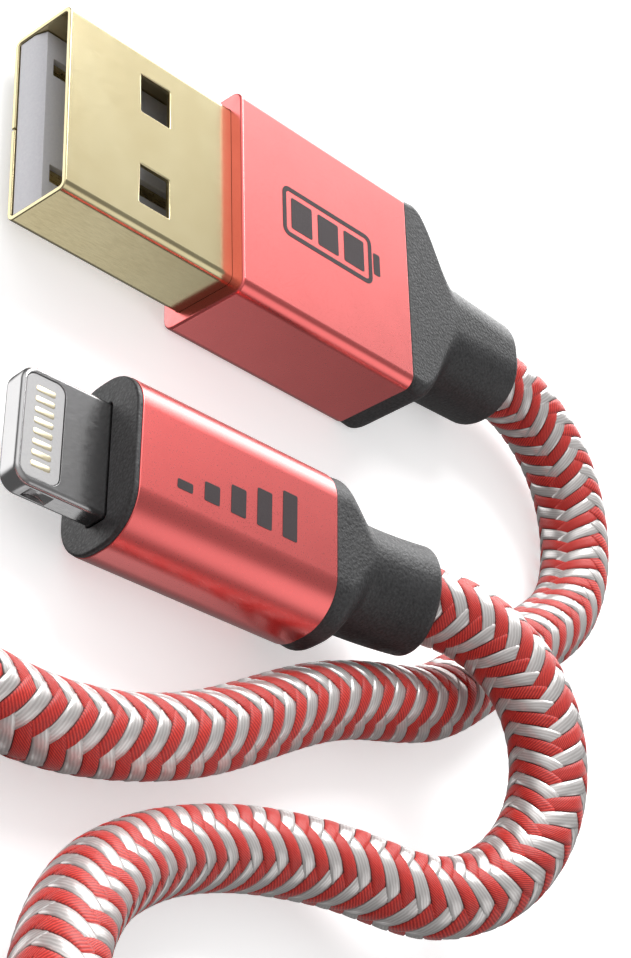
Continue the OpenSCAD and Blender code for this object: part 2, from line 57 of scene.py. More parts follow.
camera = bpy.data.objects.new("camera", bpy.data.cameras.new("camera"))
scene.collection.objects.link(camera)
camera.data.lens, camera.data.sensor_width = LENS, SENSOR
camera.data.clip_start, camera.data.clip_end = 0.005, 20
camera.matrix_world = Matrix.Translation(CAMERA_PLACE) @ Matrix(CAMERA_TURN).to_4x4()
scene.camera = camera


def in_view(points, margin):
    """Which points, in mm, the camera sees, with a margin as a share of the frame's half size."""
    turn, place = np.array(CAMERA_TURN), np.array(CAMERA_PLACE)
    seen = (points * MM - place) @ turn
    half_h = SENSOR / 2 / LENS
    half_w = half_h * IMAGE_W / IMAGE_H
    x, y = seen[:, 0] / -seen[:, 2], seen[:, 1] / -seen[:, 2]
    return (abs(x) < half_w * (1 + margin)) & (abs(y) < half_h * (1 + margin))


# ---------------------------------------------------------------- node materials


def node(tree, kind, sockets=None, **settings):
    """A new node with its settings, and its sockets set to a value or linked to another's output."""
    made = tree.nodes.new("ShaderNode" + kind)
    for name, value in settings.items():
        setattr(made, name, value)
    for name, value in (sockets or {}).items():
        socket = made.inputs[name]
        if isinstance(value, bpy.types.NodeSocket):
            tree.links.new(value, socket)
        else:
            socket.default_value = value
    return made


def colour(r, g, b):
    """Linear colour of an sRGB colour written 0 to 255."""
    return tuple(((c / 255 + 0.055) / 1.055) ** 2.4 if c > 10 else c / 3295 for c in (r, g, b)) + (1,)


def material(name, **sockets):
    """A material with one Principled shader; returns it with its tree and that shader."""
    made = bpy.data.materials.new(name)
    made.use_nodes = True
    tree = made.node_tree
    shader = tree.nodes["Principled BSDF"]
    for key, value in sockets.items():
        shader.inputs[key.replace("_", " ")].default_value = value
    return made, tree, shader


def object_point(tree, stretch=(1, 1, 1)):
    """Place on the object, in mm, stretched."""
    place = node(tree, "TexCoord").outputs["Object"]
    return node(
        tree, "Mapping", {"Vector": place, "Scale": [1000 * s for s in stretch]}
    ).outputs["Vector"]


def noise(tree, point, scale, detail=3, roughness=0.6):
    return node(
        tree, "TexNoise",
        {"Vector": point, "Scale": scale, "Detail": detail, "Roughness": roughness},
    ).outputs["Fac"]


def spread(tree, value, low, high, to_low, to_high):
    """value from low..high to to_low..to_high, held at both ends."""
    return node(
        tree, "MapRange",
        {"Value": value, "From Min": low, "From Max": high, "To Min": to_low, "To Max": to_high},
    ).outputs["Result"]


def blend_colour(tree, share, a, b):
    """Colour a where share is 0, and b where it is 1."""
    made = node(tree, "Mix", {"Factor": share}, data_type="RGBA")
    for socket, value in ((made.inputs[6], a), (made.inputs[7], b)):
        if isinstance(value, bpy.types.NodeSocket):
            tree.links.new(value, socket)
        else:
            socket.default_value = value
    return made.outputs[2]


def bump(tree, shader, height, depth_mm):
    made = node(tree, "Bump", {"Height": height, "Strength": 1.0, "Distance": depth_mm * MM})
    tree.links.new(made.outputs["Normal"], shader.inputs["Normal"])


def metal(name, base, tint, rough, streak, grain, scale=9.0, **sockets):
    """Satin metal: two close tints, fine streaks in its roughness and its surface."""
    made, tree, shader = material(name, Metallic=1.0, **sockets)
    point = object_point(tree)
    broad = noise(tree, point, 0.25, 2)
    fine = noise(tree, object_point(tree, streak), scale, 4)
    tree.links.new(
        blend_colour(tree, spread(tree, broad, 0.35, 0.65, 0, 1), base, tint),
        shader.inputs["Base Color"],
    )
    tree.links.new(spread(tree, fine, 0.3, 0.7, rough * 0.85, rough * 1.2), shader.inputs["Roughness"])
    bump(tree, shader, fine, grain)
    return made


def plastic(name, base, tint, rough, grain, scale, **sockets):
    """Moulded plastic: an even colour with a fine eroded grain."""
    made, tree, shader = material(name, **sockets)
    point = object_point(tree)
    broad = noise(tree, point, 0.3, 2)
    fine = noise(tree, point, scale, 3, 0.7)
    pores = node(tree, "TexVoronoi", {"Vector": point, "Scale": scale * 0.8}).outputs["Distance"]
    share = spread(tree, fine, 0.3, 0.7, 0, 1)
    mixed = blend_colour(tree, share, base, tint)
    mixed = blend_colour(tree, spread(tree, broad, 0.3, 0.7, 0, 0.35), mixed, tint)
    tree.links.new(mixed, shader.inputs["Base Color"])
    tree.links.new(spread(tree, pores, 0.1, 0.6, rough * 0.85, rough * 1.1), shader.inputs["Roughness"])
    height = node(tree, "Math", {0: fine, 1: pores}, operation="ADD").outputs[0]
    bump(tree, shader, height, grain)
    return made


WAVE_MM = 0.314                   # scale at which a wave texture's bands are 1 mm apart


def strand_material(name, light, dark, painted_edge_shade, rough, period, twist, fibre, **sockets):
    """A flat strand of the braid: threads a period wide, in mm, turned by twist from the strand.

    UV map strand is in mm along and across the strand; flat runs 0 to 1 along it and -1 to 1 across."""
    made, tree, shader = material(name, Roughness=rough, **sockets)
    uv = node(tree, "UVMap", uv_map="strand").outputs["UV"]

    def mapped(degrees=0, scale=(1, 1, 1)):
        turn = (0, 0, math.radians(degrees))
        return node(tree, "Mapping", {"Vector": uv, "Rotation": turn, "Scale": scale}).outputs["Vector"]

    thread = node(tree, "TexWave", {
        "Vector": mapped(90 - twist), "Scale": WAVE_MM / period,
        "Distortion": 1.6, "Detail": 2, "Detail Scale": 1.5,
    }).outputs["Fac"]
    hair = noise(tree, mapped(-twist, (0.5, 5, 1)), 3.0, 3, 0.7)
    whole = noise(tree, mapped(0, (0.16, 0.16, 1)), 1.7, 1)
    share = node(tree, "Math", {0: thread, 1: hair}, operation="MULTIPLY").outputs[0]
    mixed = blend_colour(tree, spread(tree, share, 0.08, 0.5, 0, 1), dark, light)
    mixed = blend_colour(tree, spread(tree, whole, 0.3, 0.7, 0.35, 0), mixed, dark)
    # Painted shade: each strand darkens towards its shade colour near its sides and its tip, where the
    # strands overlap one another.
    flat = node(tree, "SeparateXYZ", {0: node(tree, "UVMap", uv_map="flat").outputs["UV"]}).outputs
    side = node(tree, "Math", {0: flat["Y"]}, operation="ABSOLUTE").outputs[0]
    rim = spread(tree, side, 0.88, 0.98, 0, 0.9)
    tip = spread(tree, flat["X"], 0.94, 0.985, 0, 0.8)
    rim = node(tree, "Math", {0: rim, 1: tip}, operation="MAXIMUM").outputs[0]
    tree.links.new(blend_colour(tree, rim, mixed, painted_edge_shade), shader.inputs["Base Color"])
    height = node(tree, "Math", {0: thread, 1: hair}, operation="ADD").outputs[0]
    bump(tree, shader, height, fibre)
    return made


gold_shell = metal("plated_gold", colour(200, 188, 150), colour(194, 181, 142), 0.2, (1, 0.15, 1), 0.0006)
steel = metal("brushed_steel", colour(196, 196, 198), colour(182, 183, 186), 0.3, (1, 0.1, 1), 0.0015)
tip_steel = metal("tip_steel", colour(172, 171, 171), colour(166, 165, 166), 0.2, (1, 0.3, 1), 0.0002)
contact_gold = metal("contact_gold", colour(194, 182, 146), colour(184, 170, 130), 0.28, (1, 0.2, 1), 0.0006)
pad_gold = metal("pad_gold", colour(226, 216, 188), colour(218, 206, 174), 0.42, (1, 0.2, 1), 0.0004)
anodised = metal(
    "anodised_coral", colour(236, 70, 67), colour(230, 64, 61), 0.3, (1, 1, 1), 0.0009, 14.0,
    Coat_Weight=1.0, Coat_Roughness=0.27, Coat_IOR=2.0,
)
grip = plastic(
    "grip_grey", colour(13, 13, 14), colour(64, 64, 65), 0.46, 0.016, 6.5, Specular_IOR_Level=0.38,
)
mould = plastic("mould_grey", colour(64, 64, 66), colour(78, 78, 80), 0.6, 0.008, 5.0)
print_grey = plastic(
    "print_grey", colour(52, 44, 46), colour(62, 54, 56), 0.5, 0.003, 12.0, Specular_IOR_Level=0.2,
)
white_plastic = plastic("insulator_white", colour(232, 232, 236), colour(222, 222, 228), 0.35, 0.003, 6.0)
insert_grey = plastic("insert_grey", colour(190, 189, 188), colour(180, 179, 180), 0.4, 0.003, 9.0)
board_green = plastic("board_green", colour(28, 84, 58), colour(36, 100, 70), 0.4, 0.004, 6.0)
chip_black = plastic("chip_black", colour(30, 30, 32), colour(42, 42, 44), 0.55, 0.004, 9.0)
wire_skin = plastic("wire_skin", colour(168, 38, 34), colour(184, 52, 46), 0.45, 0.004, 4.0)
cord_core = plastic("cord_core", colour(58, 24, 24), colour(74, 36, 34), 0.85, 0.02, 6.0)
# The third colour of each strand is the painted shade at its sides and tip.
red_strand = strand_material(
    "strand_red", colour(232, 66, 52), colour(168, 22, 20), colour(40, 10, 12), 0.5, 0.14, 48, 0.008,
    Sheen_Weight=0.3, Sheen_Roughness=0.35,
)
white_strand = strand_material(
    "strand_white", colour(222, 219, 217), colour(196, 191, 189), colour(50, 44, 44), 0.32, 0.2, 4, 0.0025,
    Metallic=0.5,
)


# ---------------------------------------------------------------- sizes of the plugs
# Each plug lies along Y, its mouth at 0. A section is a half width, a half height and a corner radius.

USB_PLACE = (-9, -18, 3.1)
SHELL, SHELL_BORE = (6, 2.25, 0.5), (5.7, 1.95, 0.2)
SHELL_L = 16.6
LATCH_X, LATCH_HALF_W, LATCH_Y = 3, 1.25, (5.16, 7.26)    # the shell's latch holes
SEAM_HALF_W = 0.05
STRIP_PLACES = ((-3.5, 0.9), (-1, 1.9), (1, 1.9), (3.5, 0.9))    # x and front end of the contact strips
STRIP_HALF_W, GROOVE_HALF_W = 0.5, 0.55
USB_SLEEVE = (6.8, 3.1, 0.75)
USB_FRONT, USB_BACK = 12, 26      # front and back of the sleeve

PHONE_PLACE, PHONE_LIFT, PHONE_YAW = (10.2, -12.9, 0), 4, -2.5    # angles in degrees
TIP_W, TIP_H = 3.35, 0.75         # half sizes of the tip
NOTCH_L, NOTCH_DEPTH, NOTCH_Y = 1.5, 0.3, 1.9    # the latch notches in the tip's sides
WINDOW = (2.945, 0.6, 0.25, 2.65, 0.6)    # plan_outline of the window in each face of the tip
PLATE = (2.915, 0.57, 0.28, 2.62, 0.57)   # pebble outline of the insert's plate in it
PLATE_LEVELS = (0.41, 0.71)
PADS, PAD_PITCH, PAD_HALF_W, PAD_Y = 8, 0.61, 0.185, (0.85, 2.05)
PAD_LEVEL, PAD_HALF_H = 0.6, 0.13
PHONE_SLEEVE = (4.9, 2.95, 2.6)
PHONE_FRONT, PHONE_BACK = 5.45, 19    # front of the bezel, and back of the sleeve
PHONE_END = 27.1                  # end of the strain relief
BEZEL_LIP = 0.3                   # how far the bezel stands in front of the phone plug's sleeve


# ---------------------------------------------------------------- meshes


def piece(name, points, faces, looks, stands_for, weighted=True, sharp=35, place=None, uv=None):
    """A new mesh piece from points in mm. looks is one material, or (materials, index of each face).
    uv holds each UV map's points by its name."""
    mesh = bpy.data.meshes.new(name)
    points = np.asarray(points, float)
    if place is not None:
        points = place(points)
    mesh.from_pydata((points * MM).tolist(), [], [list(f) for f in faces])
    if isinstance(looks, tuple):
        for m in looks[0]:
            mesh.materials.append(m)
        mesh.polygons.foreach_set("material_index", looks[1])
    else:
        mesh.materials.append(looks)
    if uv is not None:
        corners = np.empty(len(mesh.loops), int)
        mesh.loops.foreach_get("vertex_index", corners)
        for layer_name, place_on_map in uv.items():
            layer = mesh.uv_layers.new(name=layer_name)
            layer.data.foreach_set("uv", place_on_map[corners].ravel())
    made = bpy.data.objects.new(name, mesh)
    scene.collection.objects.link(made)
    return dress(made, stands_for, weighted, sharp)


def dress(made, stands_for, weighted=True, sharp=35):
    """Smooths a piece, and ties it to the frame."""
    mesh = made.data
    mesh.update()
    mesh.shade_smooth()
    if sharp:
        mesh.set_sharp_from_angle(angle=math.radians(sharp))
    if weighted:
        made.modifiers.new("normals", "WEIGHTED_NORMAL").keep_sharp = True
    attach(made, "root")
    if stands_for:
        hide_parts(*stands_for)
    return made


def loft_faces(rings, sides, loop=False, caps=True):
    """Quads over rings of points, with a cap at each end or closed into a loop."""
    faces = []
    for i in range(rings if loop else rings - 1):
        j = (i + 1) % rings
        for k in range(sides):
            m = (k + 1) % sides
            faces.append((i * sides + k, j * sides + k, j * sides + m, i * sides + m))
    if caps and not loop:
        faces.append(tuple(range(sides)))
        faces.append(tuple(range(rings * sides - 1, (rings - 1) * sides - 1, -1)))
    return faces


def round_rect(w, h, r, n=8):
    """Outline of a rounded rectangle of half sizes w and h, with n steps to a corner."""
    out = []
    for c, (sx, sz) in enumerate(((1, 1), (-1, 1), (-1, -1), (1, -1))):
        for k in range(n + 1):
            a = math.radians(90 * (c + k / n))
            out.append((sx * (w - r) + r * math.cos(a), sz * (h - r) + r * math.sin(a)))
    return np.array(out)


def ring(y, w, h, r, n=8):
    outline = round_rect(w, h, r, n)
    return np.stack([outline[:, 0], np.full(len(outline), y), outline[:, 1]], 1)


def usb_to_room(p):
    return p + np.array(USB_PLACE)


def turned(p, axis, degrees):
    return p @ np.array(Matrix.Rotation(math.radians(degrees), 3, axis)).T


def phone_to_room(p):
    """The phone plug stands on the lower edge of its front, with its tail lifted."""
    on_floor = p + np.array([0, -PHONE_FRONT, PHONE_SLEEVE[1]])
    return turned(turned(on_floor, "X", PHONE_LIFT), "Z", PHONE_YAW) + np.array(PHONE_PLACE)


BEND_Y, BEND_ANGLE = 21.6, 15     # where the phone plug's relief starts to bend, and how far it does
BEND_R = (PHONE_END - BEND_Y) / math.radians(BEND_ANGLE)


def bent_to_room(p):
    """From the straight phone plug to the room, by way of the bend of its strain relief."""
    a = np.maximum(p[:, 1] - BEND_Y, 0) / BEND_R
    bent = p.copy()
    past = a > 0
    bent[past, 1] = BEND_Y + (BEND_R - p[past, 2]) * np.sin(a[past])
    bent[past, 2] = BEND_R - (BEND_R - p[past, 2]) * np.cos(a[past])
    return phone_to_room(bent)


# ---------------------------------------------------------------- cord

CORD_R = 2.2
USB_RUN = [
    (-9, 18.5, 3.1), (-8.68, 21.81, 3.08), (-7.73, 23.95, 3), (-6.24, 25.75, 2.88),
    (-4.31, 27.07, 2.7), (-2.1, 27.81, 2.5), (0.24, 27.91, 2.35), (2.51, 27.38, 2.25),
    (4.55, 26.24, 2.2), (6.2, 24.59, 2.2), (8.61, 21.39, 2.2), (11.01, 18.2, 2.2),
    (13.42, 15, 2.2), (14.82, 12.67, 2.2), (15.7, 10.1, 2.2), (16.45, 6.98, 2.2),
    (17.58, 3.6, 2.2), (19.18, 0.3, 2.2), (21.8, -4.8, 2.2), (23.15, -8.4, 2.2),
    (24.05, -12.1, 2.2), (24.4, -15.9, 2.2), (24.1, -19.7, 2.2), (23.2, -23.4, 2.2),
    (21.9, -27, 2.25), (20.45, -30.6, 2.45), (19.1, -34.2, 2.8),
]
PHONE_RUN = [
    (11.55, 11.15, 6.09), (12.53, 13.16, 6.69), (14.01, 14.82, 7.08), (15.88, 16.03, 7.22),
    (18.01, 16.69, 7.13), (20.24, 16.75, 6.89), (22.4, 16.21, 6.5), (24.34, 15.11, 5.98),
    (25.91, 13.52, 5.41), (26.99, 11.57, 4.83), (27.51, 9.4, 4.27), (27.42, 7.18, 3.75),
    (27, 3.98, 3.09), (26.96, 1.26, 2.62), (27.19, -1.45, 2.32), (27.71, -4.12, 2.22),
    (28.51, -6.72, 2.35), (29.57, -9.23, 2.75), (30.66, -11.2, 3.25), (32.05, -13.3, 3.97),
    (34.37, -15.69, 5.04), (37.36, -17.74, 6.35), (40.71, -19.15, 7.54),
]
COIL_CENTRE = np.array([46, -50.6, 0])
COIL_START, COIL_END, COIL_PITCH, COIL_OUTER, COIL_CLIMB = 165, 85, 5, 30.5, 0.5
COIL_TURNS = 7 + (COIL_END - COIL_START) / 360
COIL_STEPS = 163
COIL_LEVEL = 3.1                  # height of the lower layer's centre line
COIL_LAYER = (COIL_TURNS - COIL_CLIMB) / 2    # turns in each layer
COIL_INNER = COIL_OUTER - COIL_LAYER * COIL_PITCH


def heading(degrees):
    a = math.radians(degrees)
    return np.array([-math.sin(a), math.cos(a), 0])


def coil_point(u):
    """Centre line of the coil after u turns: inwards below, then outwards above."""
    climb, up = u - COIL_LAYER, u - COIL_LAYER - COIL_CLIMB
    if climb < 0:
        r, rise = COIL_OUTER - COIL_PITCH * u, 0
    elif up < 0:
        r = COIL_INNER - COIL_PITCH * climb * (1 - climb / COIL_CLIMB)
        rise = (1 - math.cos(math.pi * climb / COIL_CLIMB)) / 2
    else:
        r, rise = COIL_INNER + COIL_PITCH * up, 1
    a = math.radians(COIL_START + 360 * u)
    return COIL_CENTRE + np.array([r * math.cos(a), r * math.sin(a), COIL_LEVEL + COIL_PITCH * rise])


def smooth_path(points, first, last, step):
    """Points step apart along the cubic spline through points, leaving along first and ending along last."""
    p = np.array(points, float)
    h = np.linalg.norm(np.diff(p, axis=0), axis=1)
    count = len(p)
    a, b = np.zeros((count, count)), np.zeros((count, 3))
    a[0, 0] = a[-1, -1] = 1
    b[0], b[-1] = first, last
    for i in range(1, count - 1):
        a[i, i - 1], a[i, i + 1] = 1 / h[i - 1], 1 / h[i]
        a[i, i] = 2 * (1 / h[i - 1] + 1 / h[i])
        b[i] = 3 * ((p[i] - p[i - 1]) / h[i - 1] ** 2 + (p[i + 1] - p[i]) / h[i] ** 2)
    way = np.linalg.solve(a, b)
    t = np.linspace(0, 1, 60, endpoint=False)[:, None]
    fine = [
        (2 * t**3 - 3 * t**2 + 1) * p[i] + (t**3 - 2 * t**2 + t) * h[i] * way[i]
        + (3 * t**2 - 2 * t**3) * p[i + 1] + (t**3 - t**2) * h[i] * way[i + 1]
        for i in range(count - 1)
    ]
    fine = np.vstack([*fine, p[-1]])
    s = np.concatenate([[0], np.cumsum(np.linalg.norm(np.diff(fine, axis=0), axis=1))])
    even = np.linspace(0, s[-1], round(s[-1] / step) + 1)
    return np.stack([np.interp(even, s, fine[:, k]) for k in range(3)], 1), s[-1]


INSET = 2.6                       # how far the braid runs on inside each strain relief
PHONE_BORE = bent_to_room(np.array([[0, PHONE_END - INSET * t, 0] for t in (0, 0.5, 0.95, 1)]))
PHONE_WAY = (PHONE_BORE[3] - PHONE_BORE[2]) / np.linalg.norm(PHONE_BORE[3] - PHONE_BORE[2])

coil = [coil_point(i * COIL_TURNS / COIL_STEPS) for i in range(COIL_STEPS + 1)]
coil_in = coil[0] - 2 * CORD_R * heading(COIL_START)
coil_out = coil[-1] + 2 * CORD_R * heading(COIL_END)
usb_bore = np.array(USB_RUN[0], float) - np.array([0, INSET, 0])
route = [usb_bore] + [np.array(p, float) for p in USB_RUN] + [coil_in] + coil + [coil_out]
route += [np.array(p, float) for p in reversed(PHONE_RUN)] + [PHONE_BORE[i] for i in (0, 1, 3)]
line, line_length = smooth_path(route, (0, 1, 0), PHONE_WAY, 0.25)
line_s = np.linspace(0, line_length, len(line))


def carried_frames(path):
    """Two directions square to the path, carried along it without twist."""
    way = np.gradient(path, axis=0)
    way /= np.linalg.norm(way, axis=1)[:, None]
    up = np.array([0.0, 0.0, 1.0])
    ups = []
    for w in way:
        up = up - w * (up @ w)
        up /= np.linalg.norm(up)
        ups.append(up)
    ups = np.array(ups)
    return ups, np.cross(way, ups)


line_up, line_side = carried_frames(line)


def on_cord(s, angle, r):
    """Points at distance s along the cord, turned by angle about it, r from its centre line."""
    at = [np.interp(s, line_s, a[:, k]) for a in (line, line_up, line_side) for k in range(3)]
    centre, up, side = (np.stack(at[i:i + 3], -1) for i in (0, 3, 6))
    return centre + r[..., None] * (np.cos(angle)[..., None] * up + np.sin(angle)[..., None] * side)


COLUMNS, COLUMN_TURN = 6, 8       # columns of floats round the cord, and how many degrees they are turned
CORE_R, CORE_SIDES, CORE_STEP = CORD_R - 0.27, 12, 1.2
FLOAT_PITCH = 0.95                # distance from one float to the next, along the cord
SLOPE = 0.51                      # rise of a float along the cord, for its run round it
COLUMN_W = 2 * math.pi * CORD_R / COLUMNS
TIP = FLOAT_PITCH / (2 * SLOPE)   # how far a float's tip shows past its column
RUN_IN, RUN_OUT = 0.3, 0.2        # how far a float runs on under its neighbours at each end
SINK, CROWN, BELLY = 0.085, 0.03, 0.045    # how far a float lies in the cord, and its rise across and along
EDGE_FROM, EDGE_W, EDGE_DROP = 0.86, 0.18, 0.1    # where a float's edges start to turn down, and how far
START_DIPS, TIP_DIP = (0.05, 0.15), 0.2    # how deep a float's two corners start, and how deep its tip ends


def ease(x):
    x = np.clip(x, 0, 1)
    return x * x * (3 - 2 * x)


def floats(numbers, columns, across, along):
    """Points, quads, both UV maps and material index of the flat strands that float over one column each.

    across is -1 to 1 over a strand's width, and along is the number of steps in its length."""
    w = np.linspace(-RUN_IN, COLUMN_W + TIP + RUN_OUT, along + 1)[None, :, None]
    v = np.array(across)[None, None, :]
    k, c = numbers[:, None, None], columns[:, None, None]
    slope = np.where(c % 2 == 0, 1, -1)
    s = FLOAT_PITCH * (k + 0.5) + slope * SLOPE * (w - COLUMN_W / 2) + v * FLOAT_PITCH / 2
    angle = (c + w / COLUMN_W) * 2 * math.pi / COLUMNS + math.radians(COLUMN_TURN)
    high = slope * v
    start = START_DIPS[0] * (1 - ease(w / 0.5)) * (1 + high) / 2
    start = start + START_DIPS[1] * (1 - ease(w / 1.25)) * (1 - high) / 2
    t = w - COLUMN_W
    end = TIP_DIP * (ease((t - 0.65) / 0.6) * (1 - high) / 2 + ease((t + 0.3) / 0.85) * (1 + high) / 2)
    belly = BELLY * np.sin(np.pi * np.clip((w + RUN_IN) / (COLUMN_W + TIP + RUN_IN), 0, 1))
    edge = np.clip((abs(v) - EDGE_FROM) / EDGE_W, 0, 1)
    radius = CORD_R - SINK + CROWN * (1 - v**2) + belly - EDGE_DROP * edge**2 - start - end
    s = np.clip(s, 0, line_length)
    points = on_cord(s, angle + 0 * s, radius + 0 * s)
    rows, cols = along + 1, len(across)
    grid = np.arange(rows * cols).reshape(rows, cols)
    quad = np.stack([grid[:-1, :-1], grid[1:, :-1], grid[1:, 1:], grid[:-1, 1:]], -1).reshape(-1, 4)
    quads = (quad[None] + (np.arange(len(numbers)) * rows * cols)[:, None, None]).reshape(-1, 4)
    uv_u = w / math.cos(math.atan(SLOPE)) + 7.31 * k + 3.17 * c + 0 * v
    uv_v = v * FLOAT_PITCH / 2 + 1.93 * k + 5.41 * c + 0 * w
    strand = np.stack([uv_u, uv_v], -1).reshape(-1, 2)
    flat_u = (w - w.min()) / (w.max() - w.min()) + 0 * v + 0 * k
    flat = np.stack([flat_u, v + 0 * w + 0 * k], -1).reshape(-1, 2)
    paint = np.repeat(numbers % 2, len(quad))
    return points.reshape(-1, 3), quads, np.hstack([strand, flat]), paint


def braid():
    """The braided cord: a dark core tube, and red and white strands over it."""
    along = np.linspace(0, line_length, round(line_length / CORE_STEP))
    around = np.linspace(0, 2 * math.pi, CORE_SIDES, endpoint=False)
    s, angle = np.meshgrid(along, around, indexing="ij")
    core = on_cord(s, angle, np.full(s.shape, CORE_R))
    points = [core.reshape(-1, 3)]
    faces = [np.array(loft_faces(len(along), CORE_SIDES, caps=False))]
    uvs, paint = [np.zeros((core.size // 3, 4))], [np.full(len(faces[0]), 2)]
    count = int(line_length / FLOAT_PITCH) + 1
    number, column = (a.ravel() for a in np.meshgrid(np.arange(count), np.arange(COLUMNS), indexing="ij"))
    middle = on_cord(FLOAT_PITCH * (number + 0.5), column * 0.0, np.zeros(len(number)))
    near = in_view(middle, 0.1) & (middle[:, 1] > -30)
    start = len(points[0])
    # Floats that the camera sees have more faces than the rest.
    for chosen, across, steps in (
        (near, (-1.04, -EDGE_FROM, -0.35, 0.35, EDGE_FROM, 1.04), 9),
        (~near, (-1.03, 0.0, 1.03), 5),
    ):
        p, q, uv, looks = floats(number[chosen], column[chosen], across, steps)
        points.append(p)
        faces.append(q + start)
        uvs.append(uv)
        paint.append(looks)
        start += len(p)
    uvs = np.vstack(uvs)
    return piece(
        "braided_cord", np.vstack(points), np.vstack(faces).tolist(),
        ([red_strand, white_strand, cord_core], np.concatenate(paint)),
        ("cord_usb_run", "cord_coil", "cord_phone_run"), weighted=False, sharp=0,
        uv={"strand": uvs[:, :2], "flat": uvs[:, 2:]},
    )


cord = braid()


# ---------------------------------------------------------------- small solids


def mesh_object(points, faces):
    mesh = bpy.data.meshes.new("part")
    mesh.from_pydata((np.asarray(points, float) * MM).tolist(), [], [list(f) for f in faces])
    made = bpy.data.objects.new("part", mesh)
    scene.collection.objects.link(made)
    return made


def bar(section, y0, y1, n, place):
    """Rounded-rectangle bar along Y."""
    p = np.vstack([ring(y0, *section, n), ring(y1, *section, n)])
    return mesh_object(place(p), loft_faces(2, 4 * (n + 1)))


def block(a, b, place):
    """Plain block from corner a to corner b."""
    x0, y0, z0 = a
    x1, y1, z1 = b
    p = [(x, y, z) for x in (x0, x1) for y in (y0, y1) for z in (z0, z1)]
    f = [(0, 1, 3, 2), (4, 6, 7, 5), (0, 4, 5, 1), (2, 3, 7, 6), (0, 2, 6, 4), (1, 5, 7, 3)]
    return mesh_object(place(np.array(p, float)), f)


def drum(centre, r, half_h, place, n=64):
    """Cylinder along Z."""
    a = np.linspace(0, 2 * math.pi, n, endpoint=False)
    flat = np.stack([centre[0] + r * np.cos(a), centre[1] + r * np.sin(a)], 1)
    p = np.vstack([np.c_[flat, np.full(n, -half_h)], np.c_[flat, np.full(n, half_h)]])
    return mesh_object(place(p), loft_faces(2, n))


def tidy_normals(made):
    work = bmesh.new()
    work.from_mesh(made.data)
    bmesh.ops.remove_doubles(work, verts=work.verts, dist=1e-7)
    bmesh.ops.recalc_face_normals(work, faces=work.faces)
    work.to_mesh(made.data)
    work.free()
    return made


def applied(made):
    """made with its modifiers turned into mesh."""
    result = made.evaluated_get(bpy.context.evaluated_depsgraph_get())
    result = bpy.data.meshes.new_from_object(result)
    made.modifiers.clear()
    made.data = result
    return made


def combine(made, others, operation):
    """made with others cut out of it or joined on, as one mesh."""
    for other in [made, *others]:
        tidy_normals(other)
    for other in others:
        step = made.modifiers.new("step", "BOOLEAN")
        step.operation, step.object, step.solver = operation, other, "EXACT"
    applied(made)
    for other in others:
        bpy.data.objects.remove(other)
    return made


def bevelled(made, width, segments, angle=40):
    """Rounds the sharp edges of made."""
    step = made.modifiers.new("bevel", "BEVEL")
    step.width, step.segments, step.angle_limit = width * MM, segments, math.radians(angle)
    step.limit_method, step.use_clamp_overlap, step.miter_outer = "ANGLE", True, "MITER_ARC"
    return applied(made)


def finish_solid(made, name, look, stands_for, sharp=50):
    made.name = made.data.name = name
    made.data.materials.clear()
    made.data.materials.append(look)
    return dress(made, stands_for, sharp=sharp)


# ---------------------------------------------------------------- USB plug

shell = combine(
    bar(SHELL, 0, SHELL_L, 8, usb_to_room),
    [bar(SHELL_BORE, -1, 18, 5, usb_to_room)] + [
        block((x - LATCH_HALF_W, LATCH_Y[0], -4), (x + LATCH_HALF_W, LATCH_Y[1], 4), usb_to_room)
        for x in (-LATCH_X, LATCH_X)
    ] + [block((-SEAM_HALF_W, -1, -4), (SEAM_HALF_W, 18, -1), usb_to_room)],
    "DIFFERENCE",
)
finish_solid(bevelled(shell, 0.07, 3), "shell_of_usb_plug", gold_shell, ["usb_shell"])

# Outline (y, z) of the insulator: its tongue in front, and the block behind that fills the shell.
profile = [(0.1, -1.9), (0.1, -0.72), (0.35, 0), (11.5, 0), (11.5, 1.9), (15.6, 1.9), (15.6, -1.9)]
insulator = mesh_object(
    usb_to_room(np.array([(x, y, z) for x in (-5.65, 5.65) for y, z in profile])), loft_faces(2, 7)
)
grooves = [
    block((x - GROOVE_HALF_W, y - 0.05, low), (x + GROOVE_HALF_W, back, top), usb_to_room)
    for back, low, top in ((17.65, -0.6, -0.25), (11.5, -0.3, 0.1))
    for x, y in STRIP_PLACES
]
insulator = combine(insulator, grooves, "DIFFERENCE")
insulator = bevelled(insulator, 0.05, 2)
finish_solid(insulator, "insulator_of_usb_plug", white_plastic, ["usb_insulator"])

for name, (x, y) in zip(
    ("usb_power_contact", "usb_data_minus_contact", "usb_data_plus_contact", "usb_ground_contact"),
    reversed(STRIP_PLACES),
):
    strip = block((x - STRIP_HALF_W, y, -0.55), (x + STRIP_HALF_W, 17.6, -0.3), usb_to_room)
    finish_solid(bevelled(strip, 0.06, 2), name + "_strip", contact_gold, [name])


def sleeve(rings, n):
    """Closed skin over rings, each a y and a section, given in order round the wall of a hollow piece."""
    return np.vstack([ring(*r, n) for r in rings]), loft_faces(len(rings), 4 * (n + 1), loop=True)


def edge_rows(y, w, h, r, e, towards, steps=4):
    """Rows that round the outer edge at y by e. towards is 1 where the body lies behind, at larger y."""
    rows = []
    for k in range(steps + 1):
        a = math.radians(90 * k / steps)
        d = e * (1 - math.cos(a))
        rows.append((y + towards * e * (1 - math.sin(a)), w - d, h - d, r - d))
    return rows


def mix(a, b, t):
    return a + (b - a) * t


def wave(t):
    """0 to 1 along half a cosine."""
    return (1 - math.cos(math.pi * t)) / 2


def relief_neck(y, reach, wide, slim, steps):
    """Rows that narrow a strain relief from section wide to section slim, over reach along it."""
    rows = []
    for i in range(1, steps + 1):
        t = i / steps
        rows.append((y + reach * t, *[mix(a, b, wave(t)) for a, b in zip(wide, slim)]))
    return rows


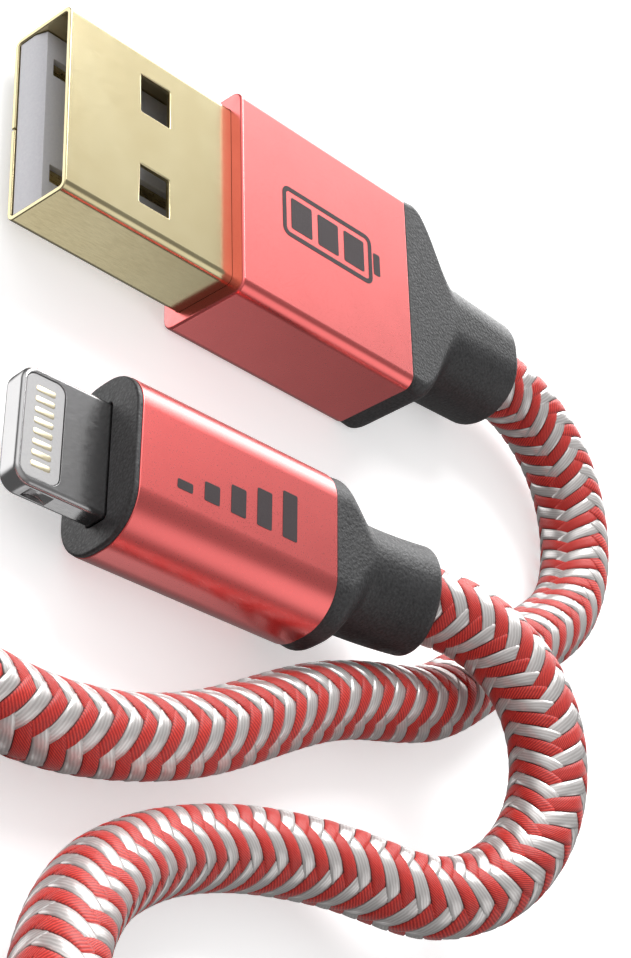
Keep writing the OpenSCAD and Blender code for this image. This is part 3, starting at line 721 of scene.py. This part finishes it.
def relief_end(y, w, h, r, reach, drop, steps=7):
    """Rows that round a strain relief's end off, over reach along it and by drop."""
    rows = []
    for k in range(1, steps + 1):
        a = math.radians(90 * k / steps)
        d = drop * (1 - math.cos(a))
        rows.append((y + reach * math.sin(a), w - d, h - d, r - d))
    return rows


outer_front = edge_rows(USB_FRONT, *USB_SLEEVE, 0.16, 1)
outer_back = edge_rows(USB_BACK, *USB_SLEEVE, 0.1, -1)
points, faces = sleeve(
    [(USB_BACK, 6.35, 2.65, 0.3), (12.9, 6.3, 2.6, 0.25), (12.9, 6.02, 2.27, 0.52)]
    + [(USB_FRONT, 6.02, 2.27, 0.52)] + outer_front[::-1] + outer_back, 10,
)
piece("housing_of_usb_plug", points, faces, anodised, ["usb_housing"], place=usb_to_room)


CORD_BORE = (2.26, 2.26, 2.25)    # section of the hole that the cord leaves each relief by

usb_rows = edge_rows(USB_BACK, 6.7, 3.1, 0.75, 0.08, 1)[::-1] + [(26.85, *USB_SLEEVE)]
usb_rows += relief_neck(26.85, 4, USB_SLEEVE, (3.7, 3.1, 3.0), 24)
usb_rows +=[(mix(30.85, 36, t), mix(3.7, 3.5, t), 3.1, mix(3.0, 3.05, t)) for t in (0.25, 0.5, 0.75, 1)]
usb_rows += relief_end(36, 3.5, 3.1, 3.05, 0.5, 0.5)
usb_rows += [(36.42, 2.32, 2.32, 2.31), (36.3, *CORD_BORE), (USB_BACK, *CORD_BORE)]
points, faces = sleeve(usb_rows, 12)
piece("strain_relief_of_usb_plug", points, faces, grip, ["usb_strain_relief"], place=usb_to_room)


# ---------------------------------------------------------------- phone plug


def plan_outline(w, r, y0, y1, r_back, n=10):
    """Outline in plan: front corners rounded by r, back corners by r_back."""
    out = []
    for cx, cy, rad, a0 in (
        (w - r, y0 + r, r, -90), (w - r_back, y1 - r_back, r_back, 0),
        (-w + r_back, y1 - r_back, r_back, 90), (-w + r, y0 + r, r, 180),
    ):
        for k in range(n + 1):
            a = math.radians(a0 + 90 * k / n)
            out.append((cx + rad * math.cos(a), cy + rad * math.sin(a)))
    return np.array(out)


def plan_rect(x0, x1, y0, y1, r):
    """Rounded rectangle in plan."""
    return round_rect((x1 - x0) / 2, (y1 - y0) / 2, r, 6) + np.array([(x0 + x1) / 2, (y0 + y1) / 2])


def pebble(w, r, y0, y1, r_back, z0, z1, e, steps=4):
    """Plate of that outline with its top and bottom edges rounded by e."""
    rows = []
    for level, sign in ((z0, -1), (z1, 1)):
        part = []
        for k in range(steps + 1):
            a = math.radians(90 * k / steps)
            d = e * (1 - math.cos(a))
            flat = plan_outline(w - d, r - d, y0 + d, y1 - d, r_back - d)
            part.append(np.c_[flat, np.full(len(flat), level - sign * e * (1 - math.sin(a)))])
        rows += part[::-1] if sign < 0 else part
    return mesh_object(phone_to_room(np.vstack(rows)), loft_faces(len(rows), len(rows[0])))


tip = pebble(TIP_W, 0.95, 0, 8.45, 0.3, -TIP_H, TIP_H, 0.28, 5)
notch_r = ((NOTCH_L / 2) ** 2 + NOTCH_DEPTH**2) / (2 * NOTCH_DEPTH)
notch_x = TIP_W + notch_r - NOTCH_DEPTH
cuts = [drum((x * notch_x, NOTCH_Y), notch_r, 0.425, phone_to_room) for x in (-1, 1)]
window = plan_outline(*WINDOW)
for z0, z1 in ((0.4, 1), (-1, -0.4)):
    p = np.vstack([np.c_[window, np.full(len(window), z)] for z in (z0, z1)])
    cuts.append(mesh_object(phone_to_room(p), loft_faces(2, len(window))))
tip = combine(tip, cuts, "DIFFERENCE")
finish_solid(bevelled(tip, 0.03, 2, 50), "frame_of_phone_tip", tip_steel, ["phone_tip_frame"])

insert = None
for sign in (1, -1):
    plate = pebble(*PLATE, *sorted(sign * z for z in PLATE_LEVELS), 0.05, 2)
    insert = plate if insert is None else combine(insert, [plate], "UNION")
finish_solid(insert, "insert_of_phone_tip", insert_grey, ["phone_tip_insert"])

for name, sign in (("phone_contacts_top", 1), ("phone_contacts_bottom", -1)):
    pads = None
    for k in range(PADS):
        x = (k - (PADS - 1) / 2) * PAD_PITCH
        flat = plan_rect(x - PAD_HALF_W, x + PAD_HALF_W, *PAD_Y, 0.14)
        levels = [sign * PAD_LEVEL + z for z in (-PAD_HALF_H, PAD_HALF_H)]
        walls = [np.c_[flat, np.full(len(flat), z)] for z in levels]
        pad = mesh_object(phone_to_room(np.vstack(walls)), loft_faces(2, len(flat)))
        pad = bevelled(tidy_normals(pad), 0.04, 2)
        pads = pad if pads is None else combine(pads, [pad], "UNION")
    finish_solid(pads, name + "_pads", pad_gold, [name])

bezel_rim = edge_rows(PHONE_FRONT, 4.87, 2.92, 2.57, 0.14, 1)
bezel_hole = [
    (7.45, 4.55, 2.6, 2.25), (7.45, 3.4, 0.8, 0.25), (5.5, 3.4, 0.8, 0.25), (5.46, 3.44, 0.84, 0.29),
    (PHONE_FRONT, 3.5, 0.9, 0.35),
]
points, faces = sleeve(
    bezel_hole + bezel_rim[::-1] + [(5.72, 4.87, 2.92, 2.57), (5.72, 4.55, 2.6, 2.25)], 10,
)
piece("bezel_of_phone_plug", points, faces, grip, ["phone_bezel"], place=phone_to_room)

sleeve_front = PHONE_FRONT + BEZEL_LIP
outer_front = edge_rows(sleeve_front, *PHONE_SLEEVE, 0.07, 1)
outer_back = edge_rows(PHONE_BACK, *PHONE_SLEEVE, 0.07, -1)
points, faces = sleeve(
    [(PHONE_BACK, 4.6, 2.65, 2.3), (sleeve_front, 4.6, 2.65, 2.3)] + outer_front[::-1] + outer_back, 14,
)
piece("housing_of_phone_plug", points, faces, anodised, ["phone_housing"], place=phone_to_room)

phone_rows = edge_rows(PHONE_BACK, 4.8, 2.95, 2.6, 0.08, 1)[::-1] + [(19.9, *PHONE_SLEEVE)]
phone_rows += relief_neck(19.9, 2.1, PHONE_SLEEVE, (3.1, 3.1, 3.08), 16)
phone_rows += [(mix(22, 26.6, t), 3.1, 3.1, 3.08) for t in np.linspace(0.1, 1, 10)]
phone_rows += relief_end(26.6, 3.1, 3.1, 3.08, 0.5, 0.45)
phone_rows += [(27.02, 2.32, 2.32, 2.31), (26.9, *CORD_BORE)]
phone_rows += [(mix(26.5, PHONE_BACK, t), *CORD_BORE) for t in np.linspace(0, 1, 14)]
points, faces = sleeve(phone_rows, 12)
piece(
    "strain_relief_of_phone_plug", points, faces, grip, ["phone_strain_relief"],
    place=bent_to_room,
)


# ---------------------------------------------------------------- printed marks

INK = (-0.01, 0.014)              # how far the ink reaches below and above the face that it is printed on


def inked(outline, level, place, hole=None):
    """Flat print of that outline, with a hole of as many points in it, on the face at that level."""
    walls = [(outline, level + z) for z in INK]
    if hole is not None:
        walls += [(hole, level + z) for z in reversed(INK)]
    points = np.vstack([np.c_[flat, np.full(len(flat), z)] for flat, z in walls])
    return mesh_object(place(points), loft_faces(len(walls), len(outline), loop=hole is not None))


USB_FACE, PHONE_FACE = USB_SLEEVE[1], PHONE_SLEEVE[1]
case_hole = plan_rect(-1.6, 1.2, 15.5, 22.4, 0.28)
battery = [inked(plan_rect(-1.9, 1.5, 15.2, 22.7, 0.55), USB_FACE, usb_to_room, case_hole)]
battery.append(inked(plan_rect(-0.95, 0.55, 22.85, 23.4, 0.12), USB_FACE, usb_to_room))
for y in (15.9, 18.1, 20.3):
    battery.append(inked(plan_rect(-1.25, 0.85, y, y + 1.7, 0.12), USB_FACE, usb_to_room))
finish_solid(combine(battery[0], battery[1:], "UNION"), "battery_print", print_grey, [])

bars = []
for i in range(5):
    outline = plan_rect(1.5 - 0.55 * (i + 1), 1.5, 8.1 + 1.75 * i, 9.1 + 1.75 * i, 0.1)
    bars.append(inked(outline, PHONE_FACE, phone_to_room))
finish_solid(combine(bars[0], bars[1:], "UNION"), "level_bars_print", print_grey, [])


# ---------------------------------------------------------------- strap of the coil

STRAP_HALF_W, STRAP_GAP = 5, 0.1
STRAP_INNER = math.sqrt((COIL_INNER - CORD_R) ** 2 - STRAP_HALF_W**2) - STRAP_GAP
STRAP_OUTER = COIL_OUTER + CORD_R + STRAP_GAP
STRAP_LOW, STRAP_HALF_H = 0.8, 4.8
STRAP_EDGE_X = np.array([5.0, 4.9, 4.6])     # the band's rounded edge: across it, and out from its middle
STRAP_EDGE_Z = np.array([0.1, 0.17, 0.2])


def strap_to_room(p):
    """From (out from the coil's centre, across the strap, up) to the room."""
    return turned(p, "Z", 190) + COIL_CENTRE


def strap():
    """One turn and a lap of woven band round the coil."""
    layer, steps = 0.4, 240
    middle = np.array([(STRAP_INNER + STRAP_OUTER) / 2, STRAP_LOW + STRAP_HALF_H])
    base = round_rect((STRAP_OUTER - STRAP_INNER) / 2, STRAP_HALF_H, 2.4, 10)
    base = np.vstack([base, base[:1]])
    s = np.concatenate([[0], np.cumsum(np.linalg.norm(np.diff(base, axis=0), axis=1))])
    even = np.linspace(0, s[-1], steps + 1)
    base = np.stack([np.interp(even, s, base[:, k]) for k in (0, 1)], 1)[:-1]
    along = np.gradient(np.vstack([base[-1], base, base[0]]), axis=0)[1:-1]
    out = np.stack([along[:, 1], -along[:, 0]], 1)
    out /= np.linalg.norm(out, axis=1)[:, None]
    first, total = 52, steps + 62    # the step that the band starts at, and its length with the lap
    index = (first + np.arange(total)) % steps
    lift = layer * ease((np.arange(total) - (steps - 4)) / 8)
    centre = base[index] + out[index] * (lift + layer / 2)[:, None]
    x, z = STRAP_EDGE_X, STRAP_EDGE_Z
    across = np.concatenate([-x, x[::-1], x, -x[::-1]])
    height = np.concatenate([-z, -z[::-1], z, z[::-1]])
    rows = []
    for i in range(total):
        end = min(i, total - 1 - i)
        narrow = 1 - 0.22 * max(0, 1 - end / 4) ** 2 if i > total // 2 else 1
        q = centre[i] + out[index[i]] * height[:, None]
        rows.append(np.stack([middle[0] + q[:, 0], across * narrow, middle[1] + q[:, 1]], 1))
    return np.vstack(rows), loft_faces(total, len(across))


strap_cloth, tree, shader = material("strap_cloth", Roughness=0.9, Sheen_Weight=0.4, Sheen_Roughness=0.6)
point = object_point(tree)
loops = node(tree, "TexVoronoi", {"Vector": point, "Scale": 4.5, "Randomness": 0.8}).outputs["Distance"]
fuzz = noise(tree, point, 5.0, 3, 0.7)
tree.links.new(
    blend_colour(tree, spread(tree, fuzz, 0.3, 0.7, 0, 1), colour(48, 48, 50), colour(86, 86, 88)),
    shader.inputs["Base Color"],
)
bump(tree, shader, node(tree, "Math", {0: loops, 1: fuzz}, operation="ADD").outputs[0], 0.06)
points, faces = strap()
band = piece(
    "strap_of_coil", points, faces, strap_cloth, ["coil_strap"], place=strap_to_room, sharp=60,
)


# ---------------------------------------------------------------- inner CAD nodes

for name, look in {
    "usb_inner_mould": mould, "usb_wires": wire_skin, "usb_cord_clamp": steel, "usb_cord_end": cord_core,
    "phone_circuit_board": board_green, "phone_control_chips": chip_black, "phone_inner_mould": mould,
    "phone_wires": wire_skin, "phone_cord_clamp": steel, "phone_cord_end": cord_core,
}.items():
    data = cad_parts[name].data
    data.materials.clear()
    data.materials.append(look)


# ---------------------------------------------------------------- floor and light

# Sizes in metres: half the floor's side, and the backdrop's radius and height.
FLOOR_HALF = 4
BACKDROP_R, BACKDROP_H, BACKDROP_SIDES = 3.5, 6.0, 96


def studio_paper(name, glow):
    return material(name, Roughness=0.9, Emission_Color=colour(255, 255, 255), Emission_Strength=glow)


def studio_sheet(name, points, faces, look):
    """A sheet of the studio, from points in metres. The object doesn't mirror it or take light from it."""
    mesh = bpy.data.meshes.new(name)
    mesh.from_pydata(points, [], faces)
    mesh.materials.append(look)
    made = bpy.data.objects.new(name, mesh)
    scene.collection.objects.link(made)
    made.visible_diffuse = made.visible_glossy = False
    return made


paper, tree, shader = studio_paper("paper", 0.45)
cloudy = noise(tree, object_point(tree), 0.02, 2)
tree.links.new(
    blend_colour(tree, cloudy, colour(240, 240, 240), colour(244, 244, 244)), shader.inputs["Base Color"],
)
corners = [(x * FLOOR_HALF, y * FLOOR_HALF, 0) for x, y in ((-1, -1), (1, -1), (1, 1), (-1, 1))]
floor = studio_sheet("floor", corners, [(0, 1, 2, 3)], paper)

around = np.linspace(0, 2 * math.pi, BACKDROP_SIDES, endpoint=False)
rim = np.stack([BACKDROP_R * np.cos(around), BACKDROP_R * np.sin(around)], 1)
backdrop = studio_sheet(
    "backdrop", [(x, y, z) for z in (0, BACKDROP_H) for x, y in rim.tolist()],
    loft_faces(2, BACKDROP_SIDES, caps=False), studio_paper("backdrop_paper", 1.0)[0],
)
backdrop.visible_shadow = False


def direction(azimuth, elevation):
    a, e = math.radians(azimuth), math.radians(elevation)
    return (math.cos(a) * math.cos(e), math.sin(a) * math.cos(e), math.sin(e))


def studio():
    """Soft light from all round: wide pale panels on a grey room, each fading at its edge."""
    world = bpy.data.worlds.new("studio")
    scene.world = world
    world.use_nodes = True
    tree = world.node_tree
    back = tree.nodes["Background"]
    way = node(tree, "TexCoord").outputs["Generated"]
    way = node(tree, "VectorMath", {0: way}, operation="NORMALIZE").outputs["Vector"]
    height = node(tree, "SeparateXYZ", {0: way}).outputs["Z"]
    total = spread(tree, height, -0.3, 0.5, 0.2, 0.33)
    # azimuth, elevation, angles at which a panel starts and ends fading, strength
    for azimuth, elevation, inner, outer, strength in (
        (135, 38, 9, 18, 0.05),     # panel that the flat tops mirror
        (139, 32, 4, 10, 0.8),      # lamp that the front of the USB plug mirrors
        (147, 0, 20, 31, 4.4),      # bright strip that the left roundings mirror
        (54, 30, 16, 27, 0.98),     # panel that the right roundings mirror
        (36, -41, 5, 12, 1.0),      # pale card under the right side
        (219, -40, 14, 32, 2.0),    # pale card in front of the plugs
        (222, 36, 14, 32, 1.1),     # soft light from the front left
        (270, 50, 20, 60, 0.45),    # soft light from behind the camera
    ):
        middle = {0: way, 1: direction(azimuth, elevation)}
        facing = node(tree, "VectorMath", middle, operation="DOT_PRODUCT").outputs["Value"]
        low, high = (math.cos(math.radians(a)) for a in (outer, inner))
        part = spread(tree, facing, low, high, 0, strength)
        total = node(tree, "Math", {0: total, 1: part}, operation="ADD").outputs[0]
    tree.links.new(total, back.inputs["Strength"])
    back.inputs["Color"].default_value = (1, 1, 1, 1)


studio()


KEY_PLACE, KEY_SIZE, KEY_WATTS = (-0.48, 0.085, 0.38), 0.35, 3.4

light = bpy.data.lights.new("key", "AREA")
light.shape, light.size, light.energy = "DISK", KEY_SIZE, KEY_WATTS
key = bpy.data.objects.new("key", light)
scene.collection.objects.link(key)
key.location = KEY_PLACE
key.visible_camera = False
key.rotation_mode = "QUATERNION"
key.rotation_quaternion = (-Vector(KEY_PLACE)).to_track_quat("-Z", "Y")
scene.view_settings.view_transform = "Standard"
